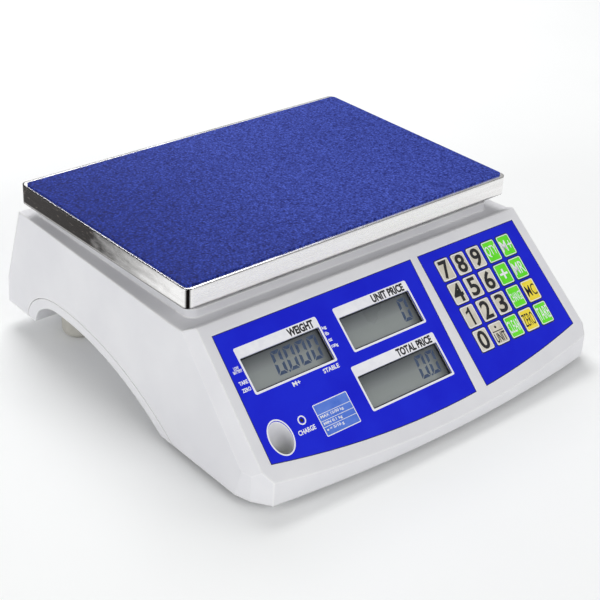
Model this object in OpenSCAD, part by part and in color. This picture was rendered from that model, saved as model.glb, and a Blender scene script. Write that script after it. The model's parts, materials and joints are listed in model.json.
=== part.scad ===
// Price-computing bench scale: moulded housing with a sloping display and key panel,
// stainless platter on a single-point load cell, battery and mains supply inside.
// Millimetres. X to the right, Y to the back, Z up, origin on the table under the middle.

/* [Housing] */
// Height of the front ridge above the table
ridge_z = 96.4; // [92:0.2:104]
// Front of the housing at its middle
front_y = -160; // [-166:1:-154]
// Back of the housing at its foot
rear_y = 160; // [156:1:168]
// Half width of the housing at its back top corners
rear_half_w = 152; // [148:0.5:160]
// Growth of the half width per mm forward
side_taper = 0.022; // [0.005:0.001:0.03]
// Growth of the half width per mm downward
side_lean = 0.07; // [0.03:0.005:0.1]
// Moulded wall thickness
wall = 2.8; // [2:0.1:3.4]
// Height of the skirt's lower edge
skirt_z = 5; // [4:0.5:7]
// Height of the back block's lower edge
rear_block_z = 17; // [13:0.5:18]

/* [Panel] */
// Slope of the panel from horizontal
panel_tilt = 41.83; // [38:0.1:44]
// Length of the panel from its top ridge to its lower ridge
panel_len = 123.5; // [118:0.5:126]
// Height of the overlays' top edge below the ridge, measured down the slope
overlay_drop = 8; // [6:0.5:10]
// Thickness of the printed overlays
overlay_t = 0.5; // [0.3:0.1:0.8]

/* [Keys] */
// Width of a key
key_w = 12.8; // [11:0.1:13.6]
// Height of a key along the slope
key_h = 16.6; // [14:0.1:17.8]
// Spacing of the key columns
key_pitch_x = 16.37; // [15.5:0.01:17]
// Spacing of the key rows
key_pitch_y = 19.18; // [18.5:0.01:19.8]
// Gap round a key in its overlay
key_gap = 0.25; // [0.15:0.05:0.4]
// Travel of a key
key_travel = 0.4; // [0.2:0.1:0.6]

/* [Platter] */
// Outer width of the platter tray
tray_w = 304; // [290:1:312]
// Outer depth of the platter tray
tray_d = 199; // [190:1:204]
// Height of the tray's skirt
tray_h = 14.6; // [12:0.2:18]
// Sheet thickness of the tray
tray_t = 1.2; // [0.8:0.1:2]
// Width of the textured mat
mat_w = 300; // [280:1:300]
// Depth of the textured mat
mat_d = 190.7; // [180:0.1:191]
// Thickness of the mat
mat_t = 1.4; // [0.8:0.1:2]
// Height of the mat's top above the front ridge
platter_rise = 24.6; // [22:0.1:34]
// Middle of the tray, front to back
tray_y = 42.4; // [41:0.2:43]

/* [Weighing] */
// Load cell length
cell_l = 130; // [120:1:150]
// Load cell width
cell_w = 30; // [25:1:38]
// Load cell height
cell_h = 24; // [20:1:26]
// Load cell bolt radius
cell_bolt_r = 3; // [2.5:0.1:3.4]
// Radius of a carrier post
post_r = 9; // [7:0.5:11]
// Sideways room round a post in the deck
post_room = 4; // [3:0.5:6]
// Half spacing of the posts across the scale
post_x = 100; // [90:1:105]
// Half spacing of the posts front to back
post_y = 60; // [52:1:66]
// Gap under the carrier at an overload stop
stop_gap = 0.8; // [0.5:0.1:1.2]

/* [Feet] */
// Half spacing of the feet across the scale
foot_x = 124; // [120:1:131]
// Rear feet, front to back
foot_rear_y = 112; // [100:1:114]
// Front feet, front to back
foot_front_y = -90; // [-92:1:-86]
// Radius of a foot's rubber pad
foot_r = 13.5; // [12:0.5:16]
// Height of a foot's rubber pad
foot_h = 15; // [13:0.5:18]
// Radius of a foot's screw
stud_r = 4; // [3:0.5:5]
// Sideways room round a foot's pad
foot_room = 1.5; // [1:0.1:2]
// Length of screw thread a foot can be run out by
foot_travel = 6; // [3:1:8]

/* [Power] */
// Battery length, depth and height
battery_size = [101, 70, 47];
// Transformer length, depth and height
transformer_size = [60, 44, 42];
// Size of the mains inlet's flange
inlet_flange = [31, 23];
// Size of the rocker switch's flange
switch_flange = [15, 21];
// Angle the rocker turns through each way
rocker_angle = 10; // [6:1:12]

/* [Hidden] */
KEY_COLS = 5;
KEY_ROWS = 4;
SIDES = [-1, 1];
CORNERS = [[-1, -1], [1, -1], [-1, 1], [1, 1]];
KEY_NAMES = [
    ["key_7", "key_8", "key_9", "key_quantity", "key_memory_add"],
    ["key_4", "key_5", "key_6", "key_add", "key_memory_recall"],
    ["key_1", "key_2", "key_3", "key_change", "key_memory_clear"],
    ["key_0", "key_point_unit", "key_clear", "key_zero", "key_tare"]];
KEY_TINTS = [
    ["ivory", "ivory", "ivory", "limegreen", "limegreen"],
    ["ivory", "ivory", "ivory", "limegreen", "limegreen"],
    ["ivory", "ivory", "ivory", "limegreen", "gold"],
    ["ivory", "ivory", "limegreen", "gold", "limegreen"]];
FEET = ["front_left", "front_right", "rear_left", "rear_right"];

HUGE = 1000;
span = rear_half_w + 23;         // past the widest point of the housing
EPS = 0.01;
FIT = 0.3;                       // room between parts that face each other
PARTING = 0.25;                  // visible gap between the two housings

// Panel frame: origin on the overlays' top edge, y up the slope, z out of the panel
panel_low_z = ridge_z - panel_len * sin(panel_tilt);
panel_low_y = front_y + 0.5;
ridge_y = panel_low_y + panel_len * cos(panel_tilt);
panel_y = ridge_y - overlay_drop * cos(panel_tilt);
panel_z = ridge_z - overlay_drop * sin(panel_tilt);
panel_arc_r = 722;               // radius of the overlays' lower edge
overlay_len = 106;               // overlay length on the centre line
front_arc_r = 1114;              // plan radius of the front skirt

// Back wall: leans forward from its foot to the deck
rear_knee_z = 32;
rear_top_y = rear_y - 15;
rear_lean = atan((rear_y - rear_top_y) / (ridge_z - rear_knee_z));
rear_mid_y = (rear_y + rear_top_y) / 2;
rear_mid_z = (ridge_z + rear_knee_z) / 2;

// Deck round the platter
deck_dip_y = -45;                // lowest point of the deck's rim
deck_dip_z = ridge_z - 5;
deck_foot_y = ridge_y + 10;      // foot of the slope behind the front ridge
deck_in_z = deck_dip_z - wall;   // underside of the deck
plateau_half_w = 143.5;
plateau_front_y = -50;
plateau_back_y = 138;
plateau_z = ridge_z + 2;
plateau_r = 8;

// Underside: raised along both sides as a hand hold
arch_y = 88;                     // where the hand hold is highest
arch_z = 37;
arch_back_run = 31;
sweep_r = 265;                   // radius of the long curve towards the front
sweep_y = 83;
strip_h = 7;                     // height of the lower housing's visible edge
floor_z = 8;                     // underside of the base tray
tub_half_w = foot_x - foot_r - foot_room - 0.5;
tub_back_y = 143;
tub_rim_z = arch_z + wall;

// Level window
well_x = -132.2;
well_s = 77.6;
well_r = 8.6;
well_y = panel_y - well_s * cos(panel_tilt);

// Display glass: middle x, middle distance down the slope, width, height
LCD_WEIGHT = [-99.05, 32.6, 68, 24.4];
LCD_UNIT = [-13.3, 32.3, 66.4, 24.4];
LCD_TOTAL = [-17.8, 73.9, 75.6, 24.4];
LCDS = [LCD_WEIGHT, LCD_UNIT, LCD_TOTAL];
window_t = 1.2;
lcd_t = 3.2;
display_depth = 8.5;             // top of the display board below the panel surface
board_t = 1.6;
led_x = -111.9;
led_s = 72.9;
led_r = 1.4;
DISPLAY_EDGE = [-144.4, 35.5];
KEYPAD_EDGE = [42.3, 144.4];

// Keys
key_first_x = 54.05 + 12.77 / 2;
key_first_s = 8.28 + 16.55 / 2;
key_proud = 0.3;
dome_room = 0.2;
key_depth = wall - dome_room - key_travel;
keypad_x = key_first_x + (KEY_COLS - 1) * key_pitch_x / 2;
keypad_s = key_first_s + (KEY_ROWS - 1) * key_pitch_y / 2;
keypad_w = KEY_COLS * key_pitch_x;
keypad_h = KEY_ROWS * key_pitch_y;

// Platter and load cell
platter_top = ridge_z + platter_rise;
tray_under = platter_top - mat_t - tray_t;
tray_low = platter_top - mat_t - tray_h;
tray_r = 5;
mount_h = 17;
cell_z = floor_z + wall + mount_h;
cell_top = cell_z + cell_h;
carrier_z = cell_top + 10;
carrier_t = 8;
pad_h = 14;
end_bolts = [10, 24];            // bolt distances from a load cell end

// Feet
foot_seat_z = foot_h + 1.5;
insert_z = foot_h + foot_travel + 10;

// Power
battery_x = -53;
battery_y = -49;
battery_z = floor_z + wall + 1;
door_gap = 0.4;
door_t = 2.4;
door_w = battery_size[0] + 6;
rail_z = floor_z - door_t - 2 * door_gap - 1.6;
transformer_x = 75;
transformer_y = -57;
inlet_x = 98;
switch_x = 131;
power_up = -14;                  // inlet and switch, up the back wall from its middle
rocker_z = -1.2;                 // rocker pin, out of the back wall
inlet_hole = [27, 19];
switch_hole = [13, 19];
switch_room = [switch_hole[0] - 3.6, switch_hole[1] - 3.6];  // inside the switch
pin_r = 1.5;                     // rocker pin
pin_gap = 0.05;

// Screws that join the housings: x, y, underside of the floor they pull up
screw_r = 1.75;
boss_r = 4;
screw_l = 10;
front_screw_y = front_y + 14;
rear_screw_y = rear_y - wall - boss_r + 0.6;
SCREWS = [for (s = [-1:1]) each [[s * 86, front_screw_y, floor_z],
    [s * 60, rear_screw_y, rear_block_z]]];

// Back display
REAR_OVERLAY = [22, 10, 200, 40];  // middle x seen from behind, middle up the wall, width, height
REAR_LCD_X = [-42, 22, 86];
rear_lcd = [56, 22];

// Overload stops stand under the carrier's corners
stop_x = 95;
stop_y = 50;
stop_base_z = floor_z + 22;
mount_l = 36;
mount_bolts_x = [for (b = end_bolts) b - cell_l / 2];
top_bolts_x = [for (b = end_bolts) cell_l / 2 - b];

function unit(v) = v / norm(v);
// Height of the underside at y; lift raises the curve to the parting line
function arch_at(y, lift) =
    y > arch_y
    ? rear_block_z + (arch_z - rear_block_z + lift)
        * sqrt(max(0, 1 - pow((y - arch_y) / (arch_back_run + 1.6 * lift), 2)))
    : y > sweep_y ? arch_z + lift
    : arch_z - sweep_r + sqrt(pow(sweep_r + lift, 2) - pow(sweep_y - y, 2));
// Where the long curve, raised by lift, comes down to height z
function sweep_end(lift, z) = sweep_y - sqrt(pow(sweep_r + lift, 2) - pow(sweep_r - arch_z + z, 2));
// The curve from the skirt's edge in front to the back block's edge
function arch_points(lift) =
    let (first = sweep_end(lift, skirt_z), last_run = arch_back_run + 1.6 * lift)
    [for (i = [0:12]) let (y = first + (sweep_y - first) * i / 12) [y, arch_at(y, lift)],
     for (i = [0:9]) let (a = 90 - 10 * i)
        [arch_y + last_run * cos(a), rear_block_z + (arch_z - rear_block_z + lift) * sin(a)]];
// Overlay length at x
function overlay_s(x) = overlay_len - x * x / (2 * panel_arc_r);

module on_panel() {
    translate([0, panel_y, panel_z]) rotate([panel_tilt, 0, 0]) children();
}
module on_rear() {
    translate([0, rear_mid_y, rear_mid_z]) rotate([0, 0, 180]) rotate([90 - rear_lean, 0, 0])
        children();
}
// Everything behind the plane through p with outward normal n, moved in by inset
module behind(p, n, inset) {
    d = unit(n);
    translate(p - inset * d) rotate([0, acos(d[2]), atan2(d[1], d[0])])
        translate([-HUGE / 2, -HUGE / 2, -HUGE]) cube([HUGE, HUGE, HUGE]);
}
// Prism along X from points in Y and Z
module along_x(points, half_w) {
    translate([-half_w, 0, 0]) rotate([90, 0, 90]) linear_extrude(2 * half_w) polygon(points);
}
module box(x, y, z) {
    translate([x[0], y[0], z[0]]) cube([x[1] - x[0], y[1] - y[0], z[1] - z[0]]);
}
module block(c, size) {
    translate([c[0] - size[0] / 2, c[1] - size[1] / 2, c[2]]) cube(size);
}
module rod(p, r, h) {
    translate(p) cylinder(r = r, h = h, $fn = 48);
}
module rounded(w, h, r) {
    square([w - 2 * r, h], center = true);
    square([w, h - 2 * r], center = true);
    for (c = CORNERS) translate([c[0] * (w / 2 - r), c[1] * (h / 2 - r)]) circle(r = r, $fn = 32);
}
module rounded_box(c, size, r) {
    translate(c) linear_extrude(size[2]) rounded(size[0], size[1], r);
}

// Outer form of the housing; inset gives its inner face, bottom its lower limit
module side_prism(inset, bottom) {
    back = rear_y - inset;
    top = ridge_z - inset;
    foot_z = panel_low_z - 10;
    function panel_at(z) = ridge_y - (ridge_z - z) / tan(panel_tilt) + inset / sin(panel_tilt);
    function back_at(z) = back - (z - rear_knee_z) * tan(rear_lean);
    along_x([[front_y - 5, bottom], [back, bottom], [back, rear_knee_z], [back_at(top), top],
        [panel_at(top), top], [panel_at(foot_z), foot_z], [front_y - 5, foot_z]], span);
}
// Plan of the skirt: bowed front, cut front corners, long sides, slightly cut back corners
module plan_prism(inset) {
    half = [[rear_half_w + 9 - inset, front_y + 23 + inset],
        [rear_half_w + 12.6 - inset, front_y + 36],
        [rear_half_w + 12.6 - inset, rear_y - 8],
        [rear_half_w - 8, rear_y + 8]];
    bow_w = rear_half_w + 0.7 - inset;
    bow = [for (i = [-10:10]) let (x = bow_w * i / 10)
        [x, front_y + inset + x * x / (2 * front_arc_r)]];
    linear_extrude(ridge_z + 20)
        polygon([each bow, each half, for (i = [3:-1:0]) [-half[i][0], half[i][1]]]);
}
module side_plane(s, inset) {
    behind([s * rear_half_w, rear_top_y, ridge_z], [s, side_taper, side_lean], inset);
}
// Facet between the panel's side edge and the side wall, through three of its corners
module cheek_plane(s, inset) {
    top = [rear_half_w, ridge_y - 1.1, ridge_z - 1];
    low = [rear_half_w + 4.5, ridge_y - 65.8, ridge_z - 58.9];
    foot = [rear_half_w + 12, ridge_y - 63.6, ridge_z - 74.7];
    n = cross(low - top, foot - top);
    behind([s * top[0], top[1], top[2]], [s * n[0], n[1], n[2]], inset);
}
module body_form(inset, bottom = skirt_z) {
    intersection() {
        side_prism(inset, bottom);
        plan_prism(inset);
        side_plane(-1, inset);
        side_plane(1, inset);
        cheek_plane(-1, inset);
        cheek_plane(1, inset);
    }
}
// Space inside the walls, up to the deck's underside
module cavity() {
    intersection() {
        body_form(wall, 0);
        along_x([[front_y - 5, 0], [rear_y + 5, 0], [rear_y + 5, ridge_z - 1 - wall],
            [rear_top_y + 5, ridge_z - 1 - wall], [deck_dip_y, deck_in_z],
            [front_y - 5, deck_in_z]], span);
    }
}
// What is taken off the top behind the front ridge
module deck_dip() {
    top = ridge_z + 5;
    along_x([[ridge_y + 1.5, top], [ridge_y + 1.5, ridge_z], [deck_foot_y, deck_dip_z + 0.5],
        [deck_dip_y, deck_dip_z], [rear_top_y + 5, ridge_z - 1], [rear_top_y + 5, top]], span);
}
module plateau(inset) {
    w = 2 * (plateau_half_w - inset);
    d = plateau_back_y - plateau_front_y - 2 * inset;
    translate([0, (plateau_back_y + plateau_front_y) / 2, deck_in_z - 2 * inset])
        linear_extrude(plateau_z - deck_in_z + inset) rounded(w, d, plateau_r);
}
// Everything under the line where the two housings meet
module below_parting(gap, back) {
    curve = arch_points(strip_h - gap);
    along_x([[curve[0][0], -5], each curve, [back, rear_block_z], [back, -5]], span);
}
module at_posts() {
    for (c = CORNERS) translate([c[0] * post_x, tray_y + c[1] * post_y, 0]) children();
}
module at_keys() {
    for (row = [0:KEY_ROWS - 1], col = [0:KEY_COLS - 1])
        translate([key_first_x + col * key_pitch_x, -key_first_s - row * key_pitch_y, 0]) children();
}
module at_stops() {
    for (c = CORNERS) translate([c[0] * stop_x, tray_y + c[1] * stop_y, 0]) children();
}
// Printed overlay outline between two edges, both wider lower down
module overlay_shape(edge) {
    flare = 0.037;
    x0 = edge[0] < -100 ? edge[0] - flare * overlay_len : edge[0];
    x1 = edge[1] > 100 ? edge[1] + flare * overlay_len : edge[1] - flare * overlay_len;
    polygon([[edge[0], 0], [edge[1], 0],
        for (i = [0:12]) let (x = x1 + (x0 - x1) * i / 12) [x, -overlay_s(x)]]);
}
module key_shape(gap) {
    rounded(key_w + 2 * gap, key_h + 2 * gap, 1.4 + gap);
}

module upper_housing() {
    color("#dcdcde") difference() {
        union() {
            difference() {
                union() {
                    difference() {
                        body_form(0);
                        deck_dip();
                    }
                    plateau(0);
                }
                cavity();
                plateau(wall);
                below_parting(0, rear_y + 15);
            }
            // level window tube and screw bosses reach up to the walls
            intersection() {
                union() {
                    rod([well_x, well_y, 12], well_r + 2, 50);
                    for (p = SCREWS) rod([p[0], p[1], p[2] + wall + 0.1], boss_r, 17);
                }
                body_form(wall / 2, 0);
            }
            // posts that hold the display board
            on_panel() for (p = [[-138, -9], [29, -9], [-112, -88], [29, -88]])
                translate([p[0], p[1], -display_depth])
                    cylinder(r = 2.5, h = display_depth - 1, $fn = 32);
        }
        rod([well_x, well_y, 14], well_r, 60);
        for (p = SCREWS) rod([p[0], p[1], p[2]], screw_r + 0.05, screw_l + 0.5);
        at_posts() cylinder(r = post_r + post_room, h = 120, $fn = 48);
        on_panel() {
            translate([0, 0, -overlay_t]) linear_extrude(5) overlay_shape(DISPLAY_EDGE);
            translate([0, 0, -overlay_t]) linear_extrude(5) overlay_shape(KEYPAD_EDGE);
            for (l = LCDS) {
                rounded_box([l[0], -l[1], -8], [l[2], l[3], 10], 1);
                rounded_box([l[0], -l[1], -overlay_t - window_t], [l[2] + 5, l[3] + 5, 10], 2);
            }
            at_keys() translate([0, 0, -8])
                linear_extrude(10) square([key_w + 2 * FIT, key_h + 2 * FIT], center = true);
            translate([led_x, -led_s, -12]) cylinder(r = led_r + 0.1, h = 20, $fn = 32);
        }
        on_rear() {
            rounded_box([REAR_OVERLAY[0], REAR_OVERLAY[1], -overlay_t],
                [REAR_OVERLAY[2], REAR_OVERLAY[3], 5], 3);
            for (x = REAR_LCD_X) rounded_box([x, REAR_OVERLAY[1], -8], [rear_lcd[0], rear_lcd[1], 10], 1);
            block([-inlet_x, power_up, -8], [inlet_hole[0], inlet_hole[1], 16]);
            block([-switch_x, power_up, -8], [switch_hole[0], switch_hole[1], 16]);
        }
    }
}

// Base: side strips that show, a floor that follows their curve, and a tray between them
module base_shell() {
    front_end = sweep_end(wall, floor_z + wall) + 2;
    back_end = arch_y + arch_back_run;
    difference() {
        intersection() {
            body_form(0);
            below_parting(PARTING, arch_y + arch_back_run + 1.6 * strip_h - PARTING);
        }
        along_x([[front_y, -9], each arch_points(0), [rear_y, rear_block_z],
            [rear_y, -9]], span);
        intersection() {
            body_form(wall, 0);
            along_x([[front_y, skirt_z - 1], [sweep_end(wall, skirt_z), skirt_z - 1],
                each arch_points(wall),
                [rear_y + 5, rear_block_z + 1], [rear_y + 5, 60],
                [front_y, 60]], span);
        }
    }
    intersection() {
        body_form(wall + FIT);
        union() {
            box([-span, span], [front_y, front_end], [floor_z, floor_z + wall]);
            box([-span, span], [back_end, rear_y], [rear_block_z, rear_block_z + wall]);
        }
    }
    intersection() {
        box([-tub_half_w, tub_half_w], [front_end - 6, tub_back_y], [floor_z, tub_rim_z]);
        union() {
            along_x([[front_end - 7, floor_z], each arch_points(wall), [back_end, floor_z]], span);
            box([-span, span], [arch_y, tub_back_y], [floor_z, rear_block_z + wall]);
        }
    }
}
// L-shaped rail that carries one side of the battery lid
module door_rail(s) {
    y = [battery_y - battery_size[1] / 2, battery_y + battery_size[1] / 2];
    x = battery_x + s * (door_w / 2 + door_gap);
    box([min(x, x + 2 * s), max(x, x + 2 * s)], y, [rail_z, floor_z + EPS]);
    box([min(x - 3 * s, x + 2 * s), max(x - 3 * s, x + 2 * s)], y, [rail_z, rail_z + 1.6]);
}
module lower_housing() {
    tub_front = sweep_end(wall, floor_z + wall) - 3;
    color("#d6d6d8") difference() {
        union() {
            difference() {
                base_shell();
                box([wall - tub_half_w, tub_half_w - wall], [tub_front, tub_back_y - wall],
                    [floor_z + wall, 60]);
                box([-tub_half_w, tub_half_w], [front_y, arch_y + arch_back_run], [0, floor_z]);
            }
            for (s = SIDES) {
                rod([s * foot_x, foot_front_y, floor_z], foot_r + 4, foot_seat_z + wall - floor_z);
                rod([s * foot_x, foot_front_y, floor_z], 8, insert_z - floor_z);
                rod([s * foot_x, foot_rear_y, foot_seat_z], 8,
                    arch_at(foot_rear_y, 0) - foot_seat_z + 4);
            }
            at_stops() rod([0, 0, floor_z], 5, stop_base_z - floor_z);
            for (s = SIDES) door_rail(s);
        }
        for (s = SIDES) {
            for (y = [foot_front_y, foot_rear_y])
                rod([s * foot_x, y, 0], foot_r + foot_room, foot_seat_z);
            rod([s * foot_x, foot_front_y, 0], stud_r + 0.06, insert_z + 1);
            rod([s * foot_x, foot_rear_y, 0], stud_r + 0.06, 60);
        }
        for (p = SCREWS) rod([p[0], p[1], 0], screw_r + 0.2, 30);
        block([battery_x, battery_y, 0], [battery_size[0] + 2, battery_size[1] + 2, 20]);
        for (x = mount_bolts_x) rod([x, tray_y, 0], cell_bolt_r + 0.3, 30);
    }
}

module housing_screws() {
    color("silver") for (p = SCREWS) {
        rod([p[0], p[1], p[2] - 1.8], 3.2, 1.8);
        rod([p[0], p[1], p[2] - EPS], screw_r, screw_l);
    }
}
module display_overlay() {
    color("blue") on_panel() difference() {
        translate([0, 0, -overlay_t]) linear_extrude(overlay_t) overlay_shape(DISPLAY_EDGE);
        for (l = LCDS) rounded_box([l[0], -l[1], -1], [l[2], l[3], 2], 1);
        translate([led_x, -led_s, -1]) cylinder(r = led_r, h = 2, $fn = 32);
        rotate([-panel_tilt, 0, 0]) translate([0, -panel_y, -panel_z])
            rod([well_x, well_y, 0], well_r, 90);
    }
}
module display_windows() {
    color("lightgrey", 0.4) on_panel() for (l = LCDS)
        rounded_box([l[0], -l[1], -overlay_t - window_t], [l[2] + 4.6, l[3] + 4.6, window_t], 2);
}
// Liquid crystal module: glass, frame and light box as one closed piece
module lcd(l) {
    color("darkseagreen") on_panel()
        translate([l[0] - l[2] / 2 - 3, -l[1] - l[3] / 2 - 3, -display_depth])
            cube([l[2] + 6, l[3] + 6, display_depth - wall]);
}
module lcd_weight() { lcd(LCD_WEIGHT); }
module lcd_unit_price() { lcd(LCD_UNIT); }
module lcd_total_price() { lcd(LCD_TOTAL); }
module display_board() {
    color("darkgreen") on_panel() difference() {
        translate([-141, -91, -display_depth - board_t]) cube([173, 85, board_t]);
        rotate([-panel_tilt, 0, 0]) translate([0, -panel_y, -panel_z])
            rod([well_x, well_y, 0], well_r + 3, 90);
    }
}
module charge_led() {
    color("darkred") on_panel() translate([led_x, -led_s, -display_depth])
        cylinder(r = led_r - 0.05, h = display_depth - 0.4, $fn = 32);
}
module level_vial() {
    color("lightgreen") rod([well_x, well_y, 14], well_r - FIT, 3.5);
}
module keypad_overlay() {
    color("blue") on_panel() difference() {
        translate([0, 0, -overlay_t]) linear_extrude(overlay_t) overlay_shape(KEYPAD_EDGE);
        at_keys() translate([0, 0, -1]) linear_extrude(2) key_shape(key_gap);
    }
}
// Board under the keys, with a contact dome for each
module keypad_board() {
    color("darkgreen") on_panel() {
        translate([keypad_x - keypad_w / 2 - 2, -keypad_s - keypad_h / 2 - 1, -wall - board_t])
            cube([keypad_w + 4, keypad_h + 2, board_t]);
        at_keys() translate([0, 0, -wall - EPS]) cylinder(r = 4, h = 0.15, $fn = 32);
    }
}
module key(row, col, tint) {
    color(tint) on_panel()
        translate([key_first_x + col * key_pitch_x, -key_first_s - row * key_pitch_y, -key_depth])
            linear_extrude(key_depth + key_proud) key_shape(0);
}
module rear_overlay() {
    o = REAR_OVERLAY;
    color("blue") on_rear() difference() {
        rounded_box([o[0], o[1], -overlay_t], [o[2], o[3], overlay_t], 3);
        for (x = REAR_LCD_X) rounded_box([x, o[1], -1], [rear_lcd[0], rear_lcd[1], 2], 1);
    }
}
module rear_lcds() {
    color("darkseagreen") on_rear() for (x = REAR_LCD_X) {
        translate([x - rear_lcd[0] / 2 - 3, REAR_OVERLAY[1] - rear_lcd[1] / 2 - 3, -wall - lcd_t])
            cube([rear_lcd[0] + 6, rear_lcd[1] + 6, lcd_t]);
        rounded_box([x, REAR_OVERLAY[1], -wall - EPS], [rear_lcd[0] - FIT, rear_lcd[1] - FIT, 1.2], 1);
    }
}

module platter_tray() {
    color("gainsboro") difference() {
        rounded_box([0, tray_y, tray_low], [tray_w, tray_d, tray_h], tray_r);
        rounded_box([0, tray_y, tray_low - 1],
            [tray_w - 2 * tray_t, tray_d - 2 * tray_t, tray_h + 1 - tray_t], tray_r - tray_t);
    }
}
module platter_mat() {
    color("royalblue")
        rounded_box([0, tray_y - 0.7, platter_top - mat_t], [mat_w, mat_d, mat_t], 3);
}
// Single-point cell: a bar with two joined holes across it
module load_cell() {
    color("silver") difference() {
        block([0, tray_y, cell_z], [cell_l, cell_w, cell_h]);
        for (s = SIDES) translate([s * 14, tray_y, cell_z + cell_h / 2]) rotate([90, 0, 0])
            cylinder(r = 8, h = cell_w + 2, center = true, $fn = 48);
        block([0, tray_y, cell_z + cell_h / 2 - 3], [28, cell_w + 2, 6]);
        for (x = mount_bolts_x) rod([x, tray_y, cell_z - 1], cell_bolt_r, 17);
        for (x = top_bolts_x) rod([x, tray_y, cell_top - 16], cell_bolt_r, 17);
    }
}
module load_cell_mount() {
    color("grey") difference() {
        block([(mount_l - cell_l) / 2, tray_y, floor_z + wall], [mount_l, cell_w + 6, mount_h]);
        for (x = mount_bolts_x) rod([x, tray_y, 0], cell_bolt_r + 0.3, 60);
    }
}
module load_cell_bolts() {
    color("silver") {
        for (x = mount_bolts_x) {
            rod([x, tray_y, floor_z - 2.6], 5, 2.6);
            rod([x, tray_y, floor_z - EPS], cell_bolt_r - 0.04, cell_z + 14 - floor_z);
        }
        for (x = top_bolts_x) {
            rod([x, tray_y, carrier_z + carrier_t], 5, 4);
            rod([x, tray_y, cell_top - 14], cell_bolt_r - 0.04,
                carrier_z + carrier_t + EPS + 14 - cell_top);
        }
    }
}
// Lead from the fixed end of the cell to the main board
module load_cell_cable() {
    from = [-40, tray_y + cell_w / 2 + 0.6, cell_z + 5];
    along = [0, 20.4, -7.5];
    color("dimgrey") translate(from) rotate([-atan2(along[1], along[2]), 0, 0])
        cylinder(r = 2, h = norm(along), $fn = 24);
}
module platter_carrier() {
    color("darkgrey") difference() {
        union() {
            block([0, tray_y, carrier_z], [2 * post_x + 16, 36, carrier_t]);
            for (s = SIDES) block([s * post_x, tray_y, carrier_z], [16, 2 * post_y + 16, carrier_t]);
            block([(cell_l - mount_l) / 2, tray_y, cell_top], [mount_l, cell_w, carrier_z - cell_top]);
            at_posts() rod([0, 0, carrier_z], post_r, tray_under - pad_h - carrier_z);
        }
        for (x = top_bolts_x) rod([x, tray_y, cell_top - 1], cell_bolt_r + 0.3, 40);
    }
}
module carrier_pads() {
    color("dimgrey") at_posts() rod([0, 0, tray_under - pad_h], post_r + 2, pad_h);
}
module overload_stops() {
    top = carrier_z - stop_gap;
    color("silver") at_stops() {
        rod([0, 0, stop_base_z], 3, top - stop_base_z);
        translate([0, 0, stop_base_z]) cylinder(r = 5.5, h = 4, $fn = 6);
    }
}
module main_board() {
    z = floor_z + wall + 8;
    color("darkgreen") {
        block([0, 108, z], [120, 60, board_t]);
        block([-30, 118, z + board_t - EPS], [22, 22, 3]);
        block([15, 112, z + board_t - EPS], [30, 12, 4]);
        block([-40, 84, z + board_t - EPS], [10, 9, 6]);
        for (i = [0:3]) rod([-6 + 14 * i, 90, z + board_t - EPS], 4, 10);
        for (x = [-54, 54], y = [84, 132]) rod([x, y, floor_z + wall], 3, 8 + EPS);
    }
}
module battery() {
    color("dimgrey") translate([0, 0, 0]) {
        block([battery_x, battery_y, battery_z], [battery_size[0], battery_size[1], battery_size[2] - 5]);
        block([battery_x + 3, battery_y, battery_z + battery_size[2] - 5 - EPS],
            [battery_size[0] - 12, battery_size[1] - 6, 5]);
    }
}
module battery_strap() {
    top = battery_z + battery_size[2] + FIT;
    color("silver") difference() {
        box([battery_x - 9, battery_x + 9],
            [battery_y - battery_size[1] / 2 - 6, battery_y + battery_size[1] / 2 + 6],
            [floor_z + wall, top + 1.2]);
        box([battery_x - 10, battery_x + 10],
            [battery_y - battery_size[1] / 2 - 4.8, battery_y + battery_size[1] / 2 + 4.8], [0, top]);
    }
}
// Sliding lid under the base, held by two rails
module battery_door() {
    z = floor_z - door_gap / 2 - door_t;
    color("#d0d0d2") {
        block([battery_x, battery_y, z], [door_w, battery_size[1] + 8, door_t]);
        for (i = [0:3]) block([battery_x, battery_y - 20 - 3 * i, z - 0.8], [30, 1.2, 0.8 + EPS]);
    }
}
module transformer() {
    s = transformer_size;
    c = [transformer_x, transformer_y, floor_z + wall];
    color("darkslategrey") {
        block([c[0], c[1], c[2] + 3], [s[0], s[1] - 18, s[2] - 3]);
        block([c[0], c[1], c[2] + 9], [s[0] - 26, s[1], s[2] - 18]);
        block([c[0], c[1], c[2]], [s[0] + 20, s[1] - 20, 3 + EPS]);
    }
}
module power_inlet() {
    color("black") on_rear() translate([-inlet_x, power_up, 0]) difference() {
        union() {
            rounded_box([0, 0, 0], [inlet_flange[0], inlet_flange[1], 2], 2);
            block([0, 0, -17], [inlet_hole[0] - FIT, inlet_hole[1] - FIT, 17 + EPS]);
        }
        difference() {
            block([0, 0, -14], [inlet_hole[0] - 4, inlet_hole[1] - 4, 20]);
            for (p = [[-7, 2], [0, -2], [7, 2]]) block([p[0], p[1], -15], [2, 4, 12]);
        }
    }
}
module switch_body() {
    color("black") on_rear() translate([-switch_x, power_up, 0]) difference() {
        union() {
            rounded_box([0, 0, 0], [switch_flange[0], switch_flange[1], 1.6], 1.5);
            block([0, 0, -15], [switch_hole[0] - FIT, switch_hole[1] - FIT, 15 + EPS]);
        }
        block([0, 0, -12], [switch_room[0], switch_room[1], 20]);
        translate([0, 0, rocker_z]) rotate([0, 90, 0])
            cylinder(r = pin_r + pin_gap, h = switch_hole[0] - 1.6, center = true, $fn = 32);
    }
}
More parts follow.
